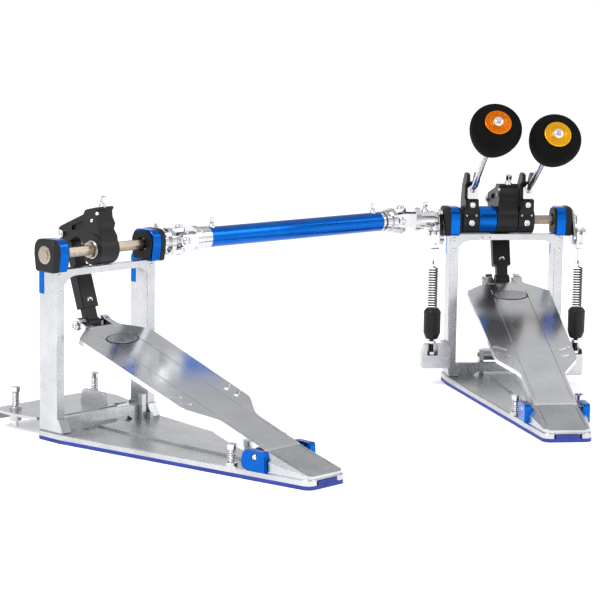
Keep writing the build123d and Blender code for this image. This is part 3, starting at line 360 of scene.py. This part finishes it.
def metal(name, light, dark, rough, stretch=(1, 1, 1), grain=260, bump=0.08):
    """Bare or anodised metal: brushed or cast grain, with drifting colour and roughness."""
    m = Nodes(name)
    m.shader.inputs["Metallic"].default_value = 1.0
    cloud = m.noise(22, 3)
    fine = m.noise(grain, 6, stretch)
    m.join(m.ramp(cloud, dark, light, 0.35, 0.65), m.shader.inputs["Base Color"])
    m.join(m.ramp(fine, rough[0], rough[1], 0.3, 0.7), m.shader.inputs["Roughness"])
    m.join(m.bump(fine, bump, 0.0001, m.rounded(0.0005)), m.shader.inputs["Normal"])
    return m.material


def coated(name, colour, worn, rough, grain=700, bump=0.2, shine=0.3):
    """Paint, powder coat or moulded plastic, with paler worn edges."""
    m = Nodes(name)
    m.shader.inputs["Specular IOR Level"].default_value = shine
    fine = m.noise(grain, 5)
    mask = m.edge_mask(EDGE_WEAR)
    m.join(m.mix(mask, m.ramp(m.noise(40, 3), colour, tuple(c * 1.5 for c in colour[:3]) + (1,)), worn),
           m.shader.inputs["Base Color"])
    m.join(m.ramp(fine, rough[0], rough[1]), m.shader.inputs["Roughness"])
    m.join(m.bump(fine, bump, 0.00015, m.rounded(EDGE_WEAR)), m.shader.inputs["Normal"])
    return m.material


MATERIAL = {
    "alloy": metal("satin_alloy", rgb(0.58, 0.59, 0.61), rgb(0.48, 0.49, 0.51), (0.22, 0.36),
                   grain=420, bump=0.10),
    "polished_board": metal("polished_alloy", rgb(0.74, 0.75, 0.77), rgb(0.66, 0.67, 0.69), (0.13, 0.22),
                            stretch=(14, 1, 1), grain=90, bump=0.015),
    "blue_anodised": metal("blue_anodised", rgb(0.006, 0.13, 0.56), rgb(0.004, 0.10, 0.46), (0.18, 0.30),
                           grain=500, bump=0.05),
    "blue_rubber": coated("blue_rubber", rgb(0.020, 0.035, 0.22), rgb(0.05, 0.08, 0.34), (0.5, 0.65)),
    "black_coat": coated("black_powder_coat", rgb(0.004, 0.004, 0.0045), rgb(0.022, 0.022, 0.023),
                         (0.34, 0.5)),
    "black_plastic": coated("black_plastic", rgb(0.0045, 0.0045, 0.005), rgb(0.018, 0.018, 0.019),
                            (0.45, 0.6), grain=900, bump=0.3),
    "steel": metal("drawn_steel", rgb(0.46, 0.38, 0.31), rgb(0.34, 0.28, 0.23), (0.24, 0.38),
                   grain=300, bump=0.06),
    "chrome": metal("chrome", rgb(0.72, 0.72, 0.74), rgb(0.58, 0.58, 0.60), (0.06, 0.14),
                    grain=200, bump=0.03),
    "head_rubber": coated("felt_rubber", rgb(0.0035, 0.0035, 0.0035), rgb(0.007, 0.007, 0.007), (0.7, 0.9),
                          grain=1500, bump=0.5, shine=0.06),
    "amber_anodised": metal("amber_anodised", rgb(0.83, 0.22, 0.01), rgb(0.66, 0.15, 0.005), (0.2, 0.3)),
    "gold_anodised": metal("gold_anodised", rgb(0.93, 0.48, 0.02), rgb(0.83, 0.38, 0.02), (0.2, 0.32)),
    "spring_steel": metal("black_spring_steel", rgb(0.085, 0.060, 0.048), rgb(0.035, 0.028, 0.025),
                          (0.25, 0.4)),
}


def paint_cad_nodes():
    for name, node in NODES.items():
        material = MATERIAL[SLOT_OF[name]]
        if not node.material_slots:
            node.data.materials.append(material)
        for held in node.material_slots:
            held.material = material


# ---- stage, light and camera ---------------------------------------------------------
def make_stage():
    bm = bmesh.new()
    signs = ((-1, -1), (1, -1), (1, 1), (-1, 1))
    bm.faces.new([bm.verts.new((x * FLOOR_HALF, y * FLOOR_HALF, 0)) for x, y in signs])
    mesh = bpy.data.meshes.new("floor")
    bm.to_mesh(mesh)
    bm.free()
    floor = bpy.data.objects.new("floor", mesh)
    bpy.context.scene.collection.objects.link(floor)
    m = Nodes("pale_floor")
    m.shader.inputs["Base Color"].default_value = rgb(0.93, 0.93, 0.93)
    m.shader.inputs["Roughness"].default_value = 0.7
    m.shader.inputs["Specular IOR Level"].default_value = 0.2
    m.shader.inputs["Emission Color"].default_value = rgb(1, 1, 1)
    m.shader.inputs["Emission Strength"].default_value = 0.30
    mesh.materials.append(m.material)


def area_light(name, place, target, size, power):
    data = bpy.data.lights.new(name, "AREA")
    data.shape = "RECTANGLE"
    data.size, data.size_y = size
    data.energy = power
    light = bpy.data.objects.new(name, data)
    bpy.context.scene.collection.objects.link(light)
    light.matrix_world = frame_at(place, Vector(place) - Vector(target))


def make_light():
    """A studio room: white round the horizon, grey above it and a bright ceiling."""
    world = bpy.data.worlds.new("studio")
    bpy.context.scene.world = world
    world.use_nodes = True
    tree = world.node_tree
    background = tree.nodes["Background"]
    background.inputs["Strength"].default_value = WORLD_STRENGTH
    where = tree.nodes.new("ShaderNodeTexCoord")
    split = tree.nodes.new("ShaderNodeSeparateXYZ")
    ramp = tree.nodes.new("ShaderNodeValToRGB")
    tree.links.new(where.outputs["Generated"], split.inputs["Vector"])
    tree.links.new(split.outputs["Z"], ramp.inputs["Fac"])
    tree.links.new(ramp.outputs["Color"], background.inputs["Color"])
    stops = ramp.color_ramp.elements
    while len(stops) < len(WORLD_GREYS):
        stops.new(0.5)
    for stop, (height, grey) in zip(stops, WORLD_GREYS):
        stop.position = height
        stop.color = rgb(grey, grey, grey)
    area_light("key", (-1.8, -1.4, 2.4), (-0.2, -0.1, 0.1), (1.5, 1.5), 60)
    area_light("fill", (1.8, -1.0, 1.6), (-0.1, -0.1, 0.1), (1.2, 1.6), 20)


def make_camera():
    yaw, pitch, roll = (radians(a) for a in (CAMERA_YAW, CAMERA_PITCH, CAMERA_ROLL))
    ahead = Vector((-sin(yaw) * cos(pitch), cos(yaw) * cos(pitch), sin(pitch)))
    right = Vector((cos(yaw), sin(yaw), 0))
    up = right.cross(ahead)
    rolled_right = right * cos(roll) + up * sin(roll)
    rolled_up = up * cos(roll) - right * sin(roll)
    data = bpy.data.cameras.new("camera")
    data.lens = LENS
    data.sensor_width = 36.0
    data.clip_end = 60.0
    camera = bpy.data.objects.new("camera", data)
    bpy.context.scene.collection.objects.link(camera)
    turn = Matrix((rolled_right, rolled_up, -ahead)).transposed().to_4x4()
    camera.matrix_world = Matrix.Translation(Vector(CAMERA_PLACE)) @ turn
    bpy.context.scene.camera = camera


# ---- hardware ------------------------------------------------------------------------
def turned(name, place, axis, profile, slot, body, segments=40):
    """A small turned piece that stands on a point and points along an axis."""
    finish_mesh(name, lathe(profile, segments), frame_at(place, axis), MATERIAL[slot], body)


def key_screw(name, place, axis, body, size=1.0, spin=0.5):
    """A drum-key screw: round flange, waisted neck and square head."""
    bm = lathe([(4.3 * size, -1.0), (4.3 * size, 1.3), (3.7 * size, 1.9), (2.5 * size, 2.8),
                (2.3 * size, 4.4), (3.4 * size, 5.0), (3.4 * size, 5.6), (0, 5.6)], 32)
    head = Matrix.Translation((0, 0, 5.4)) @ Matrix.Rotation(spin, 4, "Z")
    prism(ring_of(4, 3.5 * size, pi / 4), 6.2 * size, bm, head)
    finish_mesh(name, bm, frame_at(place, axis), MATERIAL["chrome"], body, bevel=0.35)


def socket_screw(name, place, axis, body, radius, high):
    """A cap screw with a round socket."""
    bm = lathe([(radius, -1.0), (radius, high - 0.5), (radius - 0.5, high), (radius * 0.58, high),
                (radius * 0.50, high * 0.45), (0, high * 0.4)], 36)
    finish_mesh(name, bm, frame_at(place, axis), MATERIAL["chrome"], body)


def pin_cap(name, place, axis, body):
    """The domed end of a universal joint's pin, with a round dimple."""
    profile = [(4.6, -1.2), (4.6, 0.9), (4.0, 1.8), (2.6, 2.5), (1.7, 2.6), (1.5, 1.9), (0, 1.9)]
    turned(name, place, axis, profile, "chrome", body)


def coil(name, place, body, high, turns):
    """An upright spring round an anchor bolt."""
    count = int(turns * BOLT_COIL_STEPS)
    points = []
    for i in range(count + 1):
        angle = tau * turns * i / count
        points.append((BOLT_COIL_R * cos(angle), BOLT_COIL_R * sin(angle), high * i / count))
    bm = wire(points, BOLT_COIL_WIRE)
    finish_mesh(name, bm, frame_at(place, (0, 0, 1)), MATERIAL["chrome"], body)


def washer(name, place, outer, thick, body):
    """A washer round an anchor bolt."""
    profile = [(ANCHOR_R, 0), (outer, 0), (outer, thick - 0.4), (outer - 0.4, thick), (ANCHOR_R, thick)]
    turned(name, place, (0, 0, 1), profile, "chrome", body)


def cam_point(side, y, z):
    """A point measured on the unturned cam from the axle, in the pedal's frame."""
    (cam_y, cam_z), _ = link_ends(side)
    turn = atan2(cam_z - AXLE_Z, cam_y) - atan2(CAM_PIN_RISE, CAM_PIN_Y)
    return y * cos(turn) - z * sin(turn), AXLE_Z + y * sin(turn) + z * cos(turn)


def cam_screws(side, body):
    """The key screw in the cam's ear and the screws in its left face."""
    y, z = cam_point(side, CAM_EAR_Y, CAM_EAR_Z)
    up_y, up_z = cam_point(side, CAM_EAR_Y - 0.22, CAM_EAR_Z + 0.97)
    key_screw(f"{side}_cam_key_screw", at(side, CAM_EAR_X, y, z), toward(side, 0, up_y - y, up_z - z), body)
    left = toward(side, -1, 0, 0)
    for count, (cam_y, cam_z) in enumerate(CAM_SCREWS):
        y, z = cam_point(side, cam_y, cam_z)
        socket_screw(f"{side}_cam_screw_{count}", at(side, CAM_FACE, y, z), left, body, 2.0, 0.9)


def pin_sockets(side):
    """Screws in both ends of the link's pin and of the toe pins."""
    (cam_y, cam_z), (toe_y, toe_z) = link_ends(side)
    for hand, end in LINK_PIN_ENDS.items():
        out = toward(side, hand, 0, 0)
        socket_screw(f"{side}_link_pin_socket_{hand + 1}", at(side, hand * end, cam_y, cam_z), out,
                     f"{side}_rocker", 3.2, 1.8)
        socket_screw(f"{side}_toe_pin_socket_{hand + 1}", at(side, hand * TOE_PIN_OUT, toe_y, toe_z), out,
                     f"{side}_board", TOE_SCREW_R, 1.6)


def link_screw(side):
    """The length screw on the link's front face."""
    (cam_y, cam_z), (toe_y, toe_z) = link_ends(side)
    along = Vector((0, toe_y - cam_y, toe_z - cam_z)).normalized()
    out = Vector((0, -abs(along.z), along.y))
    spot = Vector((0, cam_y, cam_z)) + along * LINK_SCREW_REACH + out * LINK_HALF_THICK
    socket_screw(f"{side}_link_screw", at(side, *spot), toward(side, *out), f"{side}_link", 3.6, 2.2)


def base_screws(side, body):
    """Screws in the posts, feet and hinge covers, and the anchor bolts' springs and washers."""
    ahead = toward(side, 0, -1, 0)
    ahead_and_up = toward(side, 0, -0.85, 0.53)
    for hand in (-1, 1):
        for count, z in enumerate(POST_SCREWS_Z):
            place = at(side, hand * POST_SCREW_X, FRAME_FRONT, z)
            socket_screw(f"{side}_post_screw_{hand + 1}_{count}", place, ahead, body, 2.2, 0.8)
        place = at(side, hand * FOOT_SCREW_X, FOOT_SCREW_Y, FOOT_SCREW_Z)
        socket_screw(f"{side}_foot_screw_{hand + 1}", place, ahead_and_up, body, 2.4, 0.8)
        x = hand * ANCHOR_X
        coil(f"{side}_anchor_spring_{hand + 1}", at(side, x, ANCHOR_Y, ANCHOR_SPRING_Z), body, 12.6, 5.5)
        washer(f"{side}_anchor_washer_{hand + 1}", at(side, x, ANCHOR_Y, ANCHOR_WASHER_Z), 6.0, 1.1, body)
    for hand in (-1, 1):
        place = at(side, hand * HINGE_COVER_OUT, HINGE_Y, HINGE_Z)
        socket_screw(f"{side}_hinge_screw_{hand + 1}", place, toward(side, hand, 0, 0), body, 2.8, 0.7)


def board_badge(side, body):
    """The blank oval plate let into the board's toe, with a dark rim."""
    where = board_matrix(side) @ Matrix.Translation(Vector((0, BADGE_REACH, 0)) * MM)
    rim = prism(ring_of(72, BADGE_RIM, 0, 0.52), 0.35)
    finish_mesh(f"{side}_badge_rim", rim, where, MATERIAL["black_coat"], body)
    plate = prism(ring_of(72, BADGE_HALF, 0, 0.50), 0.6)
    finish_mesh(f"{side}_badge", plate, where, MATERIAL["alloy"], body)


def pedal_hardware(side):
    cam_screws(side, f"{side}_rocker")
    pin_sockets(side)
    link_screw(side)
    base_screws(side, BASE_BODY[side])
    board_badge(side, f"{side}_board")


# ---- beaters -------------------------------------------------------------------------
def head_profile():
    """The padded head's half section: a bulb below, a flat shoulder round the disc above."""
    shoulder = 22.0
    points = [(HEAD_BORE, 9.5), (15.6, 9.5), (15.6, 14.4), (shoulder, 13.4)]
    for i in range(1, 13):
        angle = pi / 2 * i / 12
        points.append((shoulder + (HEAD_R - shoulder) * sin(angle), 1.0 + 12.4 * cos(angle)))
    for i in range(1, 19):
        part = i / 18
        points.append((HEAD_R - (HEAD_R - HEAD_FOOT_R) * part ** 1.75, 1.0 - (HEAD_FOOT + 1.0) * part))
    return points + [(15.6, -HEAD_FOOT - 1.0), (11.0, -HEAD_FOOT - 2.8), (HEAD_BORE, -HEAD_FOOT - 3.0)]


def beater_pieces(side, body):
    rise = radians(BEATER_RISE[side])
    axis = Vector((0, -cos(rise), sin(rise)))
    head = centre(f"{side}_beater_disc") - axis * DISC_MID * MM
    bulb = finish_mesh(f"{side}_beater_bulb", lathe(head_profile()[::-1], 96), frame_at(head, axis),
                       MATERIAL["head_rubber"], body, smooth=30)
    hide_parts(f"{side}_beater_head")
    ahead = (0, -1, 0)
    x = local("right", centre(f"{side}_beater_holder")).x
    hub_place = at("right", x, HUB_SCREW_Y, AXLE_Z - 2)
    socket_screw(f"{side}_holder_hub_screw", hub_place, ahead, body, 3.5, 4.4)
    pad = prism([(-5.6, -5.2), (5.6, -5.2), (5.6, 5.2), (-5.6, 5.2)], 3.4)
    pad_place = frame_at(at("right", x, HUB_FRONT, AXLE_Z + HOLDER_PAD_RISE), ahead)
    finish_mesh(f"{side}_holder_pad", pad, pad_place, MATERIAL["black_coat"], body, bevel=0.8)
    screw_place = at("right", x, HOLDER_PAD_FRONT, AXLE_Z + HOLDER_PAD_RISE)
    socket_screw(f"{side}_holder_clamp_screw", screw_place, ahead, body, 3.3, 2.0)
    for hand in (-1, 1):
        place = at("right", x + hand * SET_SCREW_X, SET_SCREW_Y, AXLE_Z + SET_SCREW_RISE)
        socket_screw(f"{side}_holder_set_screw_{hand + 1}", place, (0, -0.92, 0.38), body, 1.3, 0.6)


# ---- return springs ------------------------------------------------------------------
def coil_points(bottom, top):
    """A return coil's route up to its top turn, in to the middle and round the hanger's eye."""
    count = COIL_STEPS * COIL_TURNS
    points = []
    for i in range(count + 1):
        angle = tau * i / COIL_STEPS
        height = bottom + 1 + (top - bottom - 4) * i / count
        points.append(Vector((COIL_R * cos(angle), COIL_R * sin(angle), height)))
    points += [Vector((COIL_R * (1 - k / 6), 0, top - 3 + 0.35 * k)) for k in range(1, 6)]
    eye_z = top + 3.6
    for k in range(9):
        angle = pi * k / 8
        points.append(Vector((0, 2.0 * sin(angle), eye_z - HOOK_R * cos(angle))))
    return points


def return_spring(side):
    """A coil between its barrel and its hanger, the barrel's rim and the nuts on its stem."""
    x = local("right", centre(f"{side}_spring_hanger")).x
    low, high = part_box("return_springs")
    bottom, top = low.z / MM, high.z / MM
    place = Matrix.Translation(at("right", x, SPRING_Y, 0))
    bm = wire(coil_points(bottom, top), COIL_WIRE)
    piece = loose_mesh(f"{side}_return_coil", bm, place, MATERIAL["spring_steel"])
    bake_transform(piece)
    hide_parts("return_springs")
    rim = [(9.0, 0), (10.2, 0.4), (10.4, 1.2), (10.2, 2.0), (9.0, 2.4)]
    rim_place = at("right", x, SPRING_Y, BARREL_RIM_Z)
    turned(f"{side}_barrel_rim", rim_place, (0, 0, 1), rim, "black_coat", "main_base")
    for count, z in enumerate(SPRING_NUTS_Z):
        nut = prism(ring_of(6, 5.2), 3.6)
        nut_place = Matrix.Translation(at("right", x, SPRING_Y, z))
        finish_mesh(f"{side}_spring_nut_{count}", nut, nut_place, MATERIAL["chrome"], "main_base", bevel=0.5)


# ---- drive shaft ---------------------------------------------------------------------
def joint_caps(right_joint, left_joint, across):
    """The ends of both universal joints' pins."""
    up = Vector((0, 0, 1))
    ends = (("right_yoke", right_joint, Vector((0, 1, 0)), "left_beater"),
            ("rod_yoke", right_joint, up, "shaft_rod"),
            ("left_yoke", left_joint, up, "left_rocker"),
            ("tube_yoke", left_joint, across, "shaft_tube"))
    for hand in (-1, 1):
        for name, joint, axis, body in ends:
            pin_cap(f"{name}_cap_{hand + 1}", joint + axis * (hand * PIN_END * MM), axis * hand, body)


def tube_key_screws(left_joint, line, length):
    """The screws that lock the tube at its left end and on the rod at its right."""
    up = Vector((0, 0, 1))
    top = up * TUBE_TOP * MM
    for name, reach, spin in (("left", TUBE_KEY_LEFT, 0.2), ("right", length - TUBE_KEY_RIGHT, 0.5)):
        place = left_joint + line * reach * MM + top
        key_screw(f"tube_key_screw_{name}", place, up, "shaft_tube", KEY_SCREW_SIZE, spin)


def yoke_screws():
    """Key screws and set screws in both axle yokes."""
    up = Vector((0, 0, 1))
    place = at("right", RIGHT_YOKE_KEY_X, 0, AXLE_Z + RIGHT_YOKE_R)
    key_screw("right_yoke_key_screw", place, up, "left_beater", KEY_SCREW_SIZE)
    middle = at("left", LEFT_YOKE_X, 0, AXLE_Z)
    tilt = toward("left", 0, 0.6, 0.8)
    key_screw("left_yoke_key_screw", middle + tilt * LEFT_YOKE_R * MM, tilt, "left_rocker", KEY_SCREW_SIZE)
    tilt = toward("left", 0, -0.45, -0.89)
    socket_screw("left_yoke_set_screw", middle + tilt * LEFT_YOKE_R * MM, tilt, "left_rocker", 3.6, 3.0)
    place = at("right", RIGHT_YOKE_SET_X, 0, AXLE_Z - RIGHT_YOKE_R)
    socket_screw("right_yoke_set_screw", place, -up, "left_beater", 2.2, 1.4)


def shaft_pieces():
    right_joint = Vector(JOINTS["rod_turn"]["pos_m"])
    left_joint = Vector(JOINTS["tube_turn"]["pos_m"])
    line = (right_joint - left_joint).normalized()
    length = (right_joint - left_joint).length / MM
    joint_caps(right_joint, left_joint, Vector((0, 0, 1)).cross(line).normalized())
    tube_key_screws(left_joint, line, length)
    yoke_screws()
    mouth = [(9.2, -2.0), (11.4, -2.0), (11.4, 1.6), (10.8, 2.2), (9.2, 2.2)]
    mouth_place = left_joint + line * (length - TUBE_MOUTH) * MM
    turned("tube_mouth_ring", mouth_place, line, mouth, "chrome", "shaft_tube", 64)


def axle_pieces():
    """Rings and screws on the axles' ends and hubs."""
    ring = [(8.2, 0), (9.6, 0), (9.6, 0.8), (9.2, 1.2), (8.2, 1.2)]
    place = at("left", CAM_HUB_FACE, 0, AXLE_Z)
    turned("left_cam_hub_ring", place, toward("left", -1, 0, 0), ring, "alloy", "left_rocker", 64)
    ring = [(6.6, -3.0), (9.4, -0.4), (9.4, 0.3), (8.8, 0.5), (6.6, 0.2)]
    for hand in (-1, 1):
        place = at("left", hand * BEARING_COVER_OUT, 0, AXLE_Z)
        out = toward("left", hand, 0, 0)
        turned(f"left_cover_ring_{hand + 1}", place, out, ring, "steel", "second_base", 64)
    collar = [(5.9, 0), (8.6, 0), (8.6, 2.4), (8.0, 3.0), (5.9, 3.0)]
    for body, (hand, x) in ARM_COLLARS.items():
        place = at("right", hand * x, 0, AXLE_Z)
        turned(f"{body}_arm_collar", place, (hand, 0, 0), collar, "chrome", body, 48)
    end_place = at("right", AXLE_END, 0, AXLE_Z)
    socket_screw("right_axle_end_screw", end_place, (1, 0, 0), "right_rocker", 2.6, 0.6)


def outrigger_pieces():
    for count, (x, y) in enumerate(OUTRIGGER_BOLTS):
        coil(f"outrigger_spring_{count}", at("left", x, y, OUTRIGGER_SPRING_Z), "second_base", 16.4, 7)
        washer(f"outrigger_washer_{count}", at("left", x, y, OUTRIGGER_WASHER_Z), 6.2, 1.0, "second_base")


make_stage()
make_light()
make_camera()
bpy.context.scene.view_settings.view_transform = "Standard"
paint_cad_nodes()
for side in ("right", "left"):
    pedal_hardware(side)
    return_spring(side)
beater_pieces("right", "right_rocker")
beater_pieces("left", "left_beater")
shaft_pieces()
axle_pieces()
outrigger_pieces()
